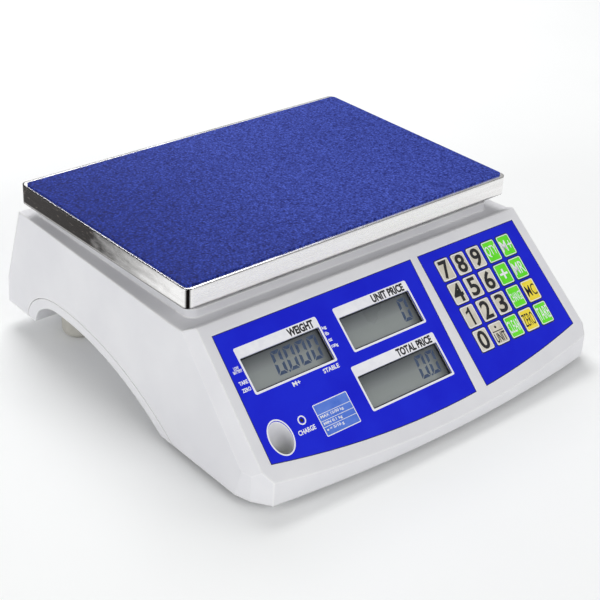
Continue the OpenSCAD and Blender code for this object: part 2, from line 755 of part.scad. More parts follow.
// Two-faced rocker on its own pin; stored switched off
module power_rocker() {
    w = switch_room[0] - 2 * FIT;
    rise = 2.6;
    reach = (switch_room[1] / 2 - FIT) * cos(rocker_angle) - (rise + 1.4) * sin(rocker_angle);
    color("dimgrey") on_rear() translate([-switch_x, power_up, rocker_z])
        rotate([-rocker_angle, 0, 0]) union() {
            rotate([90, 0, 90]) translate([0, 0, -w / 2]) linear_extrude(w)
                polygon([[-reach, rise + 1.4], [0, rise], [reach, rise + 1.4],
                    [reach, rise - 1.4], [3, -3], [-3, -3], [-reach, rise - 1.4]]);
            rotate([0, 90, 0]) cylinder(r = pin_r, h = switch_hole[0] - 2, center = true, $fn = 32);
        }
}
// Rubber foot with a rounded sole, moulded on a screw
module foot_pad(x, y) {
    edge = 5;
    color("lightgrey") translate([x, y, 0]) rotate_extrude($fn = 64) difference() {
        union() {
            square([foot_r - edge, foot_h]);
            translate([0, edge]) square([foot_r, foot_h - edge]);
            translate([foot_r - edge, edge]) circle(r = edge, $fn = 48);
        }
        translate([0, foot_h - 4]) square([stud_r, 5]);
    }
}
module foot_stud(x, y) {
    color("silver") rod([x, y, foot_h - 4], stud_r, insert_z - foot_h + 3);
}

upper_housing();
lower_housing();
housing_screws();
display_overlay();
display_windows();
lcd_weight();
lcd_unit_price();
lcd_total_price();
display_board();
charge_led();
level_vial();
keypad_overlay();
keypad_board();
rear_overlay();
rear_lcds();
platter_tray();
platter_mat();
load_cell();
load_cell_mount();
load_cell_bolts();
load_cell_cable();
platter_carrier();
carrier_pads();
overload_stops();
main_board();
battery();
battery_strap();
battery_door();
transformer();
power_inlet();
switch_body();
power_rocker();
for (i = [0:3]) {
    y = i < 2 ? foot_front_y : foot_rear_y;
    x = SIDES[i % 2] * foot_x;
    foot_pad(x, y);
    foot_stud(x, y);
}
for (row = [0:KEY_ROWS - 1], col = [0:KEY_COLS - 1])
    key(row, col, KEY_TINTS[row][col]);
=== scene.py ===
import json
import math

import bmesh
import bpy
from mathutils import Matrix, Vector


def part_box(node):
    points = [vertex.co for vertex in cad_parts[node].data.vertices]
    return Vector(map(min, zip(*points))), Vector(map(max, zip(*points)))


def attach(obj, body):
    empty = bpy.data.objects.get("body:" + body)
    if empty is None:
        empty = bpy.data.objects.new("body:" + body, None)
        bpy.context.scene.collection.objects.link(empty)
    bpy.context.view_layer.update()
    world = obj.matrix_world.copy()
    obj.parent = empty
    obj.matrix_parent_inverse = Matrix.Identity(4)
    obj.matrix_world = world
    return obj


MM = 0.001
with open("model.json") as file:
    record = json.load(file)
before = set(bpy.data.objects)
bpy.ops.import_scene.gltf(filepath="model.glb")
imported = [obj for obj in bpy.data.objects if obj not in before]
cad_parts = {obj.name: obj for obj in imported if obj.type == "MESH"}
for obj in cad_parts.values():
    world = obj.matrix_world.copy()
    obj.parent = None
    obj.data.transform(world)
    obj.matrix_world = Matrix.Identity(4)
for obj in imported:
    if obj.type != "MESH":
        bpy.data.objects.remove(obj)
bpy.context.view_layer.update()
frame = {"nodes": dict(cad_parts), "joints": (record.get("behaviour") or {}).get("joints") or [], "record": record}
nodes = frame["nodes"]
joints = {j["name"]: j for j in frame["joints"]}
scene = bpy.context.scene


# ---------------------------------------------------------------- panel frame
def span_of(name, direction):
    """Least and greatest distance of a CAD node along a direction."""
    reach = [v.co.dot(direction) for v in nodes[name].data.vertices]
    return min(reach), max(reach)


NORMAL = -Vector(joints["key_7_press"]["axis"]).normalized()
UP = NORMAL.cross(Vector((1, 0, 0)))
PANEL = NORMAL * span_of("display_overlay", NORMAL)[1] + UP * span_of("display_overlay", UP)[1]
TO_PANEL = Matrix.Translation(PANEL) @ Matrix(
    ((1, UP.x, NORMAL.x, 0), (0, UP.y, NORMAL.y, 0), (0, UP.z, NORMAL.z, 0), (0, 0, 0, 1)))
FROM_PANEL = TO_PANEL.inverted()


def rear_frame():
    """Frame on the back display's overlay: X to the left as seen from above, Y up the wall, Z outward."""
    faces = [f for f in nodes["rear_overlay"].data.polygons if f.normal.y > 0.9]
    out = sum((f.normal * f.area for f in faces), Vector()).normalized()
    up = Vector((0, -out.z, out.y))
    lo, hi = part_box("rear_overlay")
    middle = (lo + hi) / 2
    middle += out * (span_of("rear_overlay", out)[1] - middle.dot(out))
    return Matrix.Translation(middle) @ Matrix(
        ((-1, 0, 0, 0), (0, up.y, out.y, 0), (0, up.z, out.z, 0), (0, 0, 0, 1)))


TO_REAR = rear_frame()


# ------------------------------------------------------------------ materials
class Graph:
    """A node material under construction."""

    def __init__(self, name):
        self.material = bpy.data.materials.new(name)
        self.material.use_nodes = True
        self.tree = self.material.node_tree
        self.tree.nodes.clear()
        self.out = self.tree.nodes.new("ShaderNodeOutputMaterial")
        coord = self.tree.nodes.new("ShaderNodeTexCoord")
        self.place = coord.outputs["Object"]

    def node(self, kind, inputs=None, **options):
        n = self.tree.nodes.new(kind)
        for key, value in options.items():
            setattr(n, key, value)
        for key, value in (inputs or {}).items():
            self.feed(n.inputs[key], value)
        return n

    def feed(self, socket, value):
        if isinstance(value, bpy.types.NodeSocket):
            self.tree.links.new(value, socket)
        else:
            socket.default_value = value

    def noise(self, scale, detail=4.0, stretch=None, rough=0.5):
        place = self.place
        if stretch:
            place = self.node("ShaderNodeMapping", {"Vector": place, "Scale": stretch}).outputs[0]
        return self.node("ShaderNodeTexNoise", {"Vector": place, "Scale": scale, "Detail": detail,
                                                "Roughness": rough}).outputs[0]

    def ramp(self, value, low, high, a, b):
        """value mapped from low..high to a..b, and held there outside."""
        n = self.node("ShaderNodeMapRange", {"Value": value, "From Min": low, "From Max": high,
                                             "To Min": a, "To Max": b})
        return n.outputs[0]

    def mix(self, share, a, b):
        n = self.node("ShaderNodeMix", data_type="RGBA")
        self.feed(n.inputs[0], share)
        self.feed(n.inputs[6], a)
        self.feed(n.inputs[7], b)
        return n.outputs[2]

    def math(self, kind, a, b=0.0):
        n = self.node("ShaderNodeMath", operation=kind)
        self.feed(n.inputs[0], a)
        self.feed(n.inputs[1], b)
        return n.outputs[0]

    def bump(self, height, distance, strength=1.0, normal=None):
        n = self.node("ShaderNodeBump", {"Height": height, "Distance": distance, "Strength": strength})
        if normal is not None:
            self.feed(n.inputs["Normal"], normal)
        return n.outputs[0]

    def round_edges(self, radius, samples=6):
        return self.node("ShaderNodeBevel", {"Radius": radius}, samples=samples).outputs[0]

    def surface(self, **inputs):
        names = {"colour": "Base Color", "metal": "Metallic", "rough": "Roughness", "normal": "Normal",
                 "coat": "Coat Weight", "shine": "Specular IOR Level"}
        bsdf = self.node("ShaderNodeBsdfPrincipled", {names[k]: v for k, v in inputs.items()})
        self.tree.links.new(bsdf.outputs[0], self.out.inputs[0])
        return self.material


def srgb(r, g, b):
    """8-bit display colour as the linear colour a shader wants."""
    def linear(v):
        v /= 255
        return v / 12.92 if v <= 0.04045 else ((v + 0.055) / 1.055) ** 2.4
    return (linear(r), linear(g), linear(b), 1.0)


def blotchy(name, low, high, scale, rough, bump=0.0, bump_scale=None, edge=0.0, **more):
    """Moulded, printed or coated surface: two close colours in soft patches, with a fine relief."""
    g = Graph(name)
    patches = g.noise(scale, 5.0)
    grain = g.noise(bump_scale or scale * 12, 3.0)
    share = g.ramp(patches, 0.35, 0.65, 0.0, 1.0)
    colour = g.mix(share, low, high)
    normal = g.round_edges(edge) if edge else None
    if bump:
        normal = g.bump(grain, bump, 1.0, normal)
    inputs = dict(colour=colour, rough=g.ramp(grain, 0.3, 0.7, rough[0], rough[1]), **more)
    if normal is not None:
        inputs["normal"] = normal
    return g.surface(**inputs)


def brushed(name, low, high, stretch, rough, bump=0.00001, edge=0.0, metal=1.0):
    """Metal with fine directional lines."""
    g = Graph(name)
    lines = g.noise(60.0, 6.0, stretch, 0.65)
    stains = g.noise(25.0, 4.0)
    colour = g.mix(g.ramp(lines, 0.3, 0.7, 0.0, 1.0), low, high)
    colour = g.mix(g.ramp(stains, 0.45, 0.75, 0.0, 0.25), colour, low)
    normal = g.bump(lines, bump, 1.0, g.round_edges(edge) if edge else None)
    return g.surface(colour=colour, metal=metal, normal=normal,
                     rough=g.ramp(lines, 0.3, 0.7, rough[0], rough[1]))


def housing_material():
    """Off-white moulded ABS, finely spark-eroded, with soft edges and a painted highlight along them."""
    g = Graph("moulded_housing")
    patches = g.noise(18.0, 5.0)
    grain = g.noise(1500.0, 3.0)
    soft = g.round_edges(0.0022)
    flat_normal = g.node("ShaderNodeNewGeometry").outputs["Normal"]
    turned = g.node("ShaderNodeVectorMath", {0: soft, 1: flat_normal}, operation="DOT_PRODUCT")
    colour = g.mix(g.ramp(patches, 0.35, 0.65, 0.0, 1.0), srgb(222, 222, 226), srgb(229, 229, 232))
    # Painted highlight: the colour turns near white along every edge, where the rounded normal leans away from the
    # flat one.
    colour = g.mix(g.ramp(turned.outputs["Value"], 0.93, 0.995, 0.8, 0.0), colour, srgb(250, 250, 250))
    return g.surface(colour=colour, rough=g.ramp(grain, 0.3, 0.7, 0.4, 0.52), shine=0.35,
                     normal=g.bump(grain, 0.000012, 1.0, soft))


def mat_material(mat_box):
    """Blue vinyl with a fine pebbled grain of mottled specks, each brighter at its middle as a painted highlight,
    with painted shade darker towards its left side and painted sheen in soft clouds.
    """
    lo, hi = mat_box
    g = Graph("pebbled_mat")
    where = g.node("ShaderNodeSeparateXYZ", {"Vector": g.place})
    pebbles = g.node("ShaderNodeTexVoronoi", {"Vector": g.place, "Scale": 620.0, "Randomness": 1.0})
    speck = g.noise(640.0, 2.0, rough=0.6)
    cloud = g.noise(9.0, 3.0)
    # Each pebble takes a random tone and is brighter at its middle: the brightening is a painted highlight on the
    # pebble's dome.
    dome = g.ramp(pebbles.outputs["Distance"], 0.1, 0.6, 1.0, 0.2)
    dots = g.math("MULTIPLY", pebbles.outputs["Color"], dome)
    grain = g.math("ADD", dots, g.ramp(speck, 0.35, 0.65, 0.0, 0.45))
    # Painted shade and sheen: darker towards the left side and lighter in soft clouds, standing in for how the
    # light falls on the mat.
    painted_light_share = g.math("ADD", g.ramp(where.outputs[0], lo.x, (lo.x + hi.x) / 2, 0.0, 0.8),
                 g.ramp(cloud, 0.35, 0.65, 0.0, 0.2))
    low = g.mix(painted_light_share, srgb(0, 4, 70), srgb(4, 14, 100))
    high = g.mix(painted_light_share, srgb(52, 72, 178), srgb(84, 104, 210))
    height = g.math("ADD", speck, g.math("MULTIPLY", pebbles.outputs["Distance"], -0.8))
    return g.surface(colour=g.mix(grain, low, high), rough=g.ramp(speck, 0.3, 0.7, 0.55, 0.75), shine=0.07,
                     normal=g.bump(height, 0.0002, 0.5))


def tray_material(tray_box):
    """Thin stainless sheet: brushed along its edges, with painted dark reflections on its bends, a painted dark
    reflection on its scratched left side that fades towards the front, and a painted highlight along that side's
    bottom hem.
    """
    lo, hi = tray_box
    g = Graph("bent_stainless")
    soft = g.round_edges(0.0022, 8)
    facing = g.node("ShaderNodeSeparateXYZ", {"Vector": soft})
    where = g.node("ShaderNodeSeparateXYZ", {"Vector": g.place})
    left = g.math("MULTIPLY", facing.outputs[0], -1.0)
    front = g.math("MULTIPLY", facing.outputs[1], -1.0)

    def band(value, a, b, c, d):
        return g.math("MULTIPLY", g.ramp(value, a, b, 0.0, 1.0), g.ramp(value, c, d, 1.0, 0.0))

    lines = g.noise(55.0, 6.0, (0.35, 0.35, 7.0), 0.7)
    blots = g.noise(110.0, 4.0, (1.0, 0.5, 1.6), 0.6)
    scratch = g.noise(700.0, 2.0, (1.0, 0.35, 1.0), 0.5)
    bright = g.mix(g.ramp(lines, 0.3, 0.7, 0.0, 1.0), srgb(236, 234, 233), srgb(255, 254, 253))
    # Painted reflection: the left side turns dark towards the rear, as if it mirrored dark surroundings; the
    # scratches over it are the sheet's own.
    dark_reflection_fade = g.math("ADD", g.ramp(where.outputs[1], lo.y + 0.01, hi.y - 0.06, 0.0, 1.0),
                  g.ramp(blots, 0.3, 0.7, -0.12, 0.12))
    dark_reflection_with_scratches = g.mix(g.ramp(scratch, 0.66, 0.74, 0.0, 0.6), srgb(34, 29, 27), srgb(140, 130, 122))
    left_side_reflection = g.mix(g.ramp(dark_reflection_fade, 0.05, 0.75, 0.0, 1.0), bright, dark_reflection_with_scratches)
    # Painted highlight: a lighter band along the bottom hem of the side.
    hem_highlight = g.ramp(where.outputs[2], lo.z + 0.0008, lo.z + 0.0016, 0.7, 0.0)
    left_side_reflection = g.mix(hem_highlight, left_side_reflection, srgb(214, 211, 208))
    colour = g.mix(g.ramp(left, 0.85, 0.96, 0.0, 1.0), bright, left_side_reflection)
    top = facing.outputs[2]
    # Painted reflection: dark lines on the bends, chosen by which way the rounded normal faces.
    corner = g.math("MULTIPLY", band(left, 0.3, 0.5, 0.8, 0.93), g.ramp(top, 0.3, 0.45, 1.0, 0.0))
    side_bend = g.math("MULTIPLY", g.ramp(left, 0.08, 0.16, 0.0, 1.0), g.ramp(top, 0.4, 0.55, 0.0, 1.0))
    front_bend = g.math("MULTIPLY", band(front, 0.55, 0.68, 0.82, 0.92), g.ramp(top, 0.3, 0.42, 0.0, 0.8))
    dark = g.math("ADD", corner, g.math("ADD", side_bend, front_bend))
    colour = g.mix(g.ramp(dark, 0.0, 1.0, 0.0, 1.0), colour, srgb(16, 13, 12))
    return g.surface(colour=colour, metal=1.0, rough=g.ramp(lines, 0.3, 0.7, 0.2, 0.34),
                     normal=g.bump(lines, 0.00002, 0.6, soft))


def window_material():
    """Clear acrylic: lets the display behind show, with a weak sharp gloss."""
    g = Graph("clear_acrylic")
    haze = g.noise(300.0, 3.0)
    clear = g.node("ShaderNodeBsdfTransparent", {"Color": (0.93, 0.95, 0.96, 1.0)})
    gloss = g.node("ShaderNodeBsdfGlossy", {"Color": (1.0, 1.0, 1.0, 1.0),
                                            "Roughness": g.ramp(haze, 0.3, 0.7, 0.06, 0.14)})
    edge = g.node("ShaderNodeLayerWeight", {"Blend": 0.25})
    both = g.node("ShaderNodeMixShader", {0: g.ramp(edge.outputs["Fresnel"], 0.0, 1.0, 0.0, 0.4),
                                          1: clear.outputs[0], 2: gloss.outputs[0]})
    g.tree.links.new(both.outputs[0], g.out.inputs[0])
    return g.material


def lcd_material(name, box):
    """Liquid crystal glass: grey-green, with painted shadow along its top and right edges and painted shade
    growing darker towards the top.
    """
    lo, hi = box
    g = Graph(name)
    where = g.node("ShaderNodeSeparateXYZ", {"Vector": g.place})
    cloud = g.noise(30.0, 3.0)
    # Painted shadow of the frame along the right and top edges, and painted shade darker towards the top.
    right = g.ramp(where.outputs[0], hi.x - 0.016, hi.x - 0.004, 0.0, 1.0)
    top = g.ramp(where.outputs[2], hi.z - 0.010, hi.z - 0.002, 0.0, 1.0)
    painted_shade_upwards = g.ramp(where.outputs[2], lo.z, hi.z, 0.0, 1.0)
    base = g.mix(painted_shade_upwards, srgb(200, 199, 190), srgb(140, 140, 141))
    base = g.mix(g.ramp(cloud, 0.35, 0.65, 0.0, 0.25), base, srgb(176, 176, 174))
    colour = g.mix(g.math("MAXIMUM", g.math("MULTIPLY", right, 0.8), g.math("MULTIPLY", top, 0.6)),
                   base, srgb(44, 46, 48))
    return g.surface(colour=colour, rough=g.ramp(cloud, 0.3, 0.7, 0.25, 0.4), shine=0.3)


def vial_material():
    """Tinted fluid under a domed clear lid."""
    g = Graph("tinted_vial")
    swirl = g.noise(120.0, 3.0)
    colour = g.mix(g.ramp(swirl, 0.3, 0.7, 0.0, 1.0), srgb(190, 205, 120), srgb(214, 224, 150))
    return g.surface(colour=colour, rough=g.ramp(swirl, 0.3, 0.7, 0.05, 0.12), coat=0.8)


def rubber_material(name, low, high):
    return blotchy(name, low, high, 90.0, (0.62, 0.78), bump=0.00003, bump_scale=1400.0, edge=0.001)


HOUSING = housing_material()
FILM = blotchy("blue_film", srgb(8, 22, 208), srgb(16, 34, 216), 30.0, (0.30, 0.42),
               bump=0.000006, bump_scale=1800.0, shine=0.25)
MAT = mat_material(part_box("platter_mat"))
TRAY = tray_material(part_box("platter_tray"))
WINDOW = window_material()
VIAL = vial_material()
BOARD = blotchy("solder_mask", srgb(10, 78, 44), srgb(22, 104, 58), 160.0, (0.25, 0.4),
                bump=0.00002, bump_scale=900.0, coat=0.3)
LENS = blotchy("dark_lens", srgb(26, 12, 14), srgb(48, 18, 20), 500.0, (0.1, 0.2), coat=0.6)
MILLED = brushed("milled_aluminium", srgb(178, 179, 182), srgb(212, 213, 216), (1.0, 0.3, 9.0), (0.25, 0.4),
                 edge=0.0006)
CAST = blotchy("cast_aluminium", srgb(128, 129, 132), srgb(160, 161, 163), 220.0, (0.45, 0.62),
               bump=0.00005, bump_scale=900.0, edge=0.001, metal=1.0)
ZINC = brushed("zinc_plate", srgb(168, 166, 158), srgb(206, 204, 196), (4.0, 4.0, 1.0), (0.25, 0.42),
               edge=0.0003)
LAMINATIONS = brushed("varnished_laminations", srgb(30, 28, 27), srgb(58, 54, 50), (0.4, 0.4, 12.0),
                      (0.3, 0.5), metal=0.4)
BLACK_RUBBER = rubber_material("black_rubber", srgb(24, 24, 25), srgb(38, 38, 40))
GREY_RUBBER = rubber_material("grey_rubber", srgb(182, 180, 172), srgb(196, 194, 186))
BLACK_PLASTIC = blotchy("black_plastic", srgb(24, 24, 26), srgb(36, 36, 38), 120.0, (0.35, 0.5),
                        bump=0.00002, bump_scale=1500.0, edge=0.0006)
CELL_CASE = blotchy("battery_case", srgb(38, 39, 42), srgb(54, 55, 58), 60.0, (0.4, 0.55),
                    bump=0.00003, bump_scale=900.0, edge=0.001)
SHEATH = rubber_material("cable_sheath", srgb(66, 66, 68), srgb(88, 88, 90))
CREAM = blotchy("key_cream_print", srgb(206, 200, 184), srgb(224, 219, 206), 90.0, (0.3, 0.42),
                bump=0.000008, bump_scale=1800.0, edge=0.0003)
GREEN = blotchy("key_green_print", srgb(92, 226, 26), srgb(116, 238, 46), 90.0, (0.3, 0.42),
                bump=0.000008, bump_scale=1800.0, edge=0.0003)
YELLOW = blotchy("key_yellow_print", srgb(244, 218, 46), srgb(250, 230, 74), 90.0, (0.3, 0.42),
                 bump=0.000008, bump_scale=1800.0, edge=0.0003)
WHITE_INK = blotchy("white_ink", srgb(238, 238, 244), srgb(246, 246, 250), 200.0, (0.35, 0.5))
BLACK_INK = blotchy("black_ink", srgb(18, 18, 22), srgb(34, 34, 40), 400.0, (0.35, 0.5))
NAVY_INK = blotchy("navy_ink", srgb(10, 14, 84), srgb(18, 24, 110), 300.0, (0.35, 0.5))
PALE_BLUE_INK = blotchy("pale_blue_ink", srgb(70, 112, 214), srgb(92, 130, 224), 120.0, (0.35, 0.5))
SEGMENT = blotchy("lcd_segment", srgb(74, 88, 120), srgb(92, 106, 136), 300.0, (0.4, 0.55), shine=0.2)
# Painted shadow: a dark stand-in for the shade inside the display pockets.
SHADOW_BLACK = blotchy("display_painted_shadow", srgb(16, 17, 20), srgb(30, 31, 34), 300.0, (0.4, 0.6))

FINISHES = {
    "housing_plastic": HOUSING, "printed_film": FILM, "textured_mat": MAT, "stainless_sheet": TRAY,
    "clear_window": WINDOW, "circuit_board": BOARD, "dark_lens": LENS, "clear_vial": VIAL,
    "key_cream": CREAM, "key_green": GREEN, "key_yellow": YELLOW, "machined_aluminium": MILLED,
    "cast_aluminium": CAST, "zinc_steel": ZINC, "transformer_steel": LAMINATIONS,
    "black_rubber": BLACK_RUBBER, "grey_rubber": GREY_RUBBER, "black_plastic": BLACK_PLASTIC,
    "battery_case": CELL_CASE, "cable_sheath": SHEATH}
SLOT_OF = {p["node"]: p["material_slot"] for p in frame["record"]["subparts"]}
for name, obj in nodes.items():
    obj.data.materials.clear()
    slot = SLOT_OF[name]
    obj.data.materials.append(
        lcd_material("glass_" + name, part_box(name)) if slot == "lcd_glass" else FINISHES[slot])


# --------------------------------------------------------------------- pieces
def solid_from(name, curve, place, material, body, size=None):
    """Turns a filled curve or text into a mesh piece at place, stretched to size if given."""
    maker = bpy.data.objects.new(name + "_maker", curve)
    scene.collection.objects.link(maker)
    bpy.context.view_layer.update()
    mesh = bpy.data.meshes.new_from_object(maker.evaluated_get(bpy.context.evaluated_depsgraph_get()))
    bpy.data.objects.remove(maker)
    xs = [v.co.x for v in mesh.vertices]
    ys = [v.co.y for v in mesh.vertices]
    if size:
        middle = Vector(((min(xs) + max(xs)) / 2, (min(ys) + max(ys)) / 2, 0))
        scale = Matrix.Diagonal((size[0] / (max(xs) - min(xs)), size[1] / (max(ys) - min(ys)), 1, 1))
        mesh.transform(scale @ Matrix.Translation(-middle))
    mesh.transform(place)
    mesh.materials.clear()
    mesh.materials.append(material)
    for face in mesh.polygons:
        face.use_smooth = False
    obj = bpy.data.objects.new(name, mesh)
    scene.collection.objects.link(obj)
    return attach(obj, body)


def flat(name, loops, bottom, top, frame_matrix, material, body):
    """A plate between two heights of a frame, cut from closed outlines; one inside another is a hole."""
    curve = bpy.data.curves.new(name + "_outline", "CURVE")
    curve.dimensions = "2D"
    curve.fill_mode = "BOTH"
    curve.extrude = (top - bottom) / 2
    for loop in loops:
        spline = curve.splines.new("POLY")
        spline.points.add(len(loop) - 1)
        for point, (x, y) in zip(spline.points, loop):
            point.co = (x, y, 0, 1)
        spline.use_cyclic_u = True
    place = frame_matrix @ Matrix.Translation((0, 0, (top + bottom) / 2))
    return solid_from(name, curve, place, material, body)


def rounded_outline(x0, x1, y0, y1, r, steps=5):
    """Closed outline of a rectangle with rounded corners."""
    corners = [(x1 - r, y1 - r, 0), (x0 + r, y1 - r, 90), (x0 + r, y0 + r, 180), (x1 - r, y0 + r, 270)]
    return [(cx + r * math.cos(math.radians(a + 90 * i / steps)),
             cy + r * math.sin(math.radians(a + 90 * i / steps)))
            for cx, cy, a in corners for i in range(steps + 1)]


def circle_outline(x, y, r, steps=40):
    return [(x + r * math.cos(2 * math.pi * i / steps), y + r * math.sin(2 * math.pi * i / steps))
            for i in range(steps)]


def top_loops(name, to_local):
    """Outlines of a CAD node's highest flat face in a local frame, as lists of (x, y)."""
    bm = bmesh.new()
    bm.from_mesh(nodes[name].data)
    bm.transform(to_local)
    bmesh.ops.remove_doubles(bm, verts=bm.verts, dist=1e-6)
    bm.normal_update()
    height = max(v.co.z for v in bm.verts)
    top = {f for f in bm.faces if f.normal.z > 0.99 and all(abs(v.co.z - height) < 2e-5 for v in f.verts)}
    after = {}
    for face in top:
        for loop in face.loops:
            if sum(f in top for f in loop.edge.link_faces) == 1:
                after[loop.vert] = loop.link_loop_next.vert
    loops = []
    while after:
        start, vert = next(iter(after.items()))
        path = [start]
        del after[start]
        while vert != start:
            path.append(vert)
            vert = after.pop(vert)
        loops.append([(v.co.x, v.co.y) for v in path])
    bm.free()
    return sorted(loops, key=lambda l: -abs(area(l)))


def area(loop):
    return sum(a[0] * b[1] - b[0] * a[1] for a, b in zip(loop, loop[1:] + loop[:1])) / 2


def grown(loop, by):
    """The outline moved outwards by a distance, or inwards if it is negative."""
    turn = 1 if area(loop) > 0 else -1
    out = []
    for i, p in enumerate(loop):
        a, b = loop[i - 1], loop[(i + 1) % len(loop)]
        e = Vector((p[0] - a[0], p[1] - a[1])).normalized()
        f = Vector((b[0] - p[0], b[1] - p[1])).normalized()
        bisector = Vector((e.y + f.y, -e.x - f.x)) * turn
        length = by / max(0.35, bisector.length / 2)
        bisector.normalize()
        out.append((p[0] + bisector.x * length, p[1] + bisector.y * length))
    return out


def ring(name, loop, inner, outer, bottom, top, frame_matrix, material, body):
    """A band that follows an outline, from inner to outer beyond it."""
    return flat(name, [grown(loop, outer), grown(loop, inner)], bottom, top, frame_matrix, material, body)


def words(name, text, x, y, width, height, lift, frame_matrix, material, body, bold=0.0, thick=0.00003):
    """Lettering whose box is width by height, with its middle at (x, y)."""
    curve = bpy.data.curves.new(name + "_text", "FONT")
    curve.body = text
    curve.align_x = "CENTER"
    curve.space_line = 0.85
    curve.size = 0.01
    curve.extrude = thick
    curve.offset = bold
    curve.resolution_u = 4
    place = frame_matrix @ Matrix.Translation((x, y, lift))
    return solid_from(name, curve, place, material, body, (width, height))


def spans(loop):
    """Least and greatest x, then least and greatest y, of an outline."""
    xs = [p[0] for p in loop]
    ys = [p[1] for p in loop]
    return min(xs), max(xs), min(ys), max(ys)


def mean(loop):
    """Average point of an outline."""
    return sum(p[0] for p in loop) / len(loop), sum(p[1] for p in loop) / len(loop)


LIFT = 0.02 * MM                        # how far print stands off what it is on
FIGURE_LIFT = 0.03 * MM                 # the same for symbols on the caps and figures on the glass
FILM_EDGE = (-0.55 * MM, 0.02 * MM)     # dark edge of a film: from inside its outline to just past it
KEY_LINE = (0.27 * MM, 0.85 * MM)       # dark line on the film round a key
KEY_BORDER = (-0.75 * MM, -0.1 * MM)    # pale border on a key's cap
SURROUND_SIDE = 1.5 * MM                # white round a display, at its sides and foot
SURROUND_HEAD = 7.6 * MM                # white above a display, where the heading is
SURROUND_CORNER = 1.4 * MM
SHADOW_WALL = (-0.3 * MM, -0.04 * MM)    # painted shadow: dark wall between a window and its glass, in place of the shade in the pocket
SHADOW_BORDER = (-0.9 * MM, -0.3 * MM)   # painted shadow: dark border on the glass, where the frame shades it
BORDER_LIFT = 0.05 * MM
WALL_TOP = -1.72 * MM                   # the walls end just under the clear windows
# How far the outlines of the different letterings are thickened
BOLD_FIGURE, BOLD_SIGN, BOLD_WORD = 0.24 * MM, 0.1 * MM, 0.02 * MM
BOLD_UNIT, BOLD_HEADING, BOLD_LEGEND, BOLD_RATING = 0.2 * MM, 0.45 * MM, 0.3 * MM, 0.2 * MM

# Thin dark edge round each printed film
for film in ("display_overlay", "keypad_overlay"):
    outline = top_loops(film, FROM_PANEL)[0]
    ring(film + "_edge", outline, *FILM_EDGE, 0, 2 * LIFT, TO_PANEL, NAVY_INK, "housing")

# Keys: a dark line round each on the film, a pale border and a label on the cap
# Label, and its width and height in millimetres
KEY_LABELS = {
    "key_7": ("7", 8.4, 14.2), "key_8": ("8", 9.0, 14.4), "key_9": ("9", 9.0, 14.4),
    "key_4": ("4", 9.4, 14.2), "key_5": ("5", 8.8, 14.2), "key_6": ("6", 9.0, 14.4),
    "key_1": ("1", 4.5, 14.0), "key_2": ("2", 8.8, 14.2), "key_3": ("3", 8.8, 14.4),
    "key_0": ("0", 9.0, 14.4), "key_point_unit": ("UNIT", 10.8, 7.2),
    "key_quantity": ("QTY", 11.2, 9.0), "key_memory_add": ("M+", 11.0, 9.0),
    "key_add": ("+", 8.0, 8.0), "key_memory_recall": ("MR", 10.4, 9.4),
    "key_change": ("CHANGE", 11.8, 7.0), "key_memory_clear": ("MC", 10.2, 9.0),
    "key_clear": ("CLEAR", 11.8, 9.4), "key_zero": ("ZERO", 11.4, 10.0), "key_tare": ("TARE", 11.6, 10.0)}
FIGURE_ONE = [(1.7, -7.0), (1.7, 7.0), (0.6, 7.0), (-0.8, 5.1), (-3.0, 3.9), (-3.0, 2.3), (-0.2, 3.4),
              (-0.2, -7.0)]
for key, (text, width, height) in KEY_LABELS.items():
    outline = top_loops(key, FROM_PANEL)[0]
    cap = max((FROM_PANEL @ v.co).z for v in nodes[key].data.vertices)
    x0, x1, y0, y1 = spans(outline)
    x, y = (x0 + x1) / 2, (y0 + y1) / 2
    ink = WHITE_INK if SLOT_OF[key] == "key_green" else BLACK_INK
    ring(key + "_surround", outline, *KEY_LINE, 0, 2 * LIFT, TO_PANEL, NAVY_INK, "housing")
    ring(key + "_border", outline, *KEY_BORDER, cap, cap + 1.5 * LIFT, TO_PANEL, WHITE_INK, key)
    if key == "key_point_unit":
        words(key + "_label", text, x, y - 3.2 * MM, width * MM, height * MM, cap, TO_PANEL, ink, key,
              BOLD_UNIT)
        bar = rounded_outline(x - 5.4 * MM, x + 5.4 * MM, y + 1.4 * MM, y + 2.1 * MM, 0.2 * MM)
        flat(key + "_bar", [bar], cap, cap + FIGURE_LIFT, TO_PANEL, ink, key)
        flat(key + "_point", [circle_outline(x - 0.6 * MM, y + 5.0 * MM, 1.0 * MM, 20)],
             cap, cap + FIGURE_LIFT, TO_PANEL, ink, key)
    elif key == "key_1":
        flat(key + "_label", [[(x + px * MM, y + py * MM) for px, py in FIGURE_ONE]],
             cap, cap + FIGURE_LIFT, TO_PANEL, ink, key)
    else:
        words(key + "_label", text, x, y, width * MM, height * MM, cap, TO_PANEL, ink, key,
              BOLD_FIGURE if text.isdigit() else BOLD_SIGN if text == "+" else BOLD_WORD)

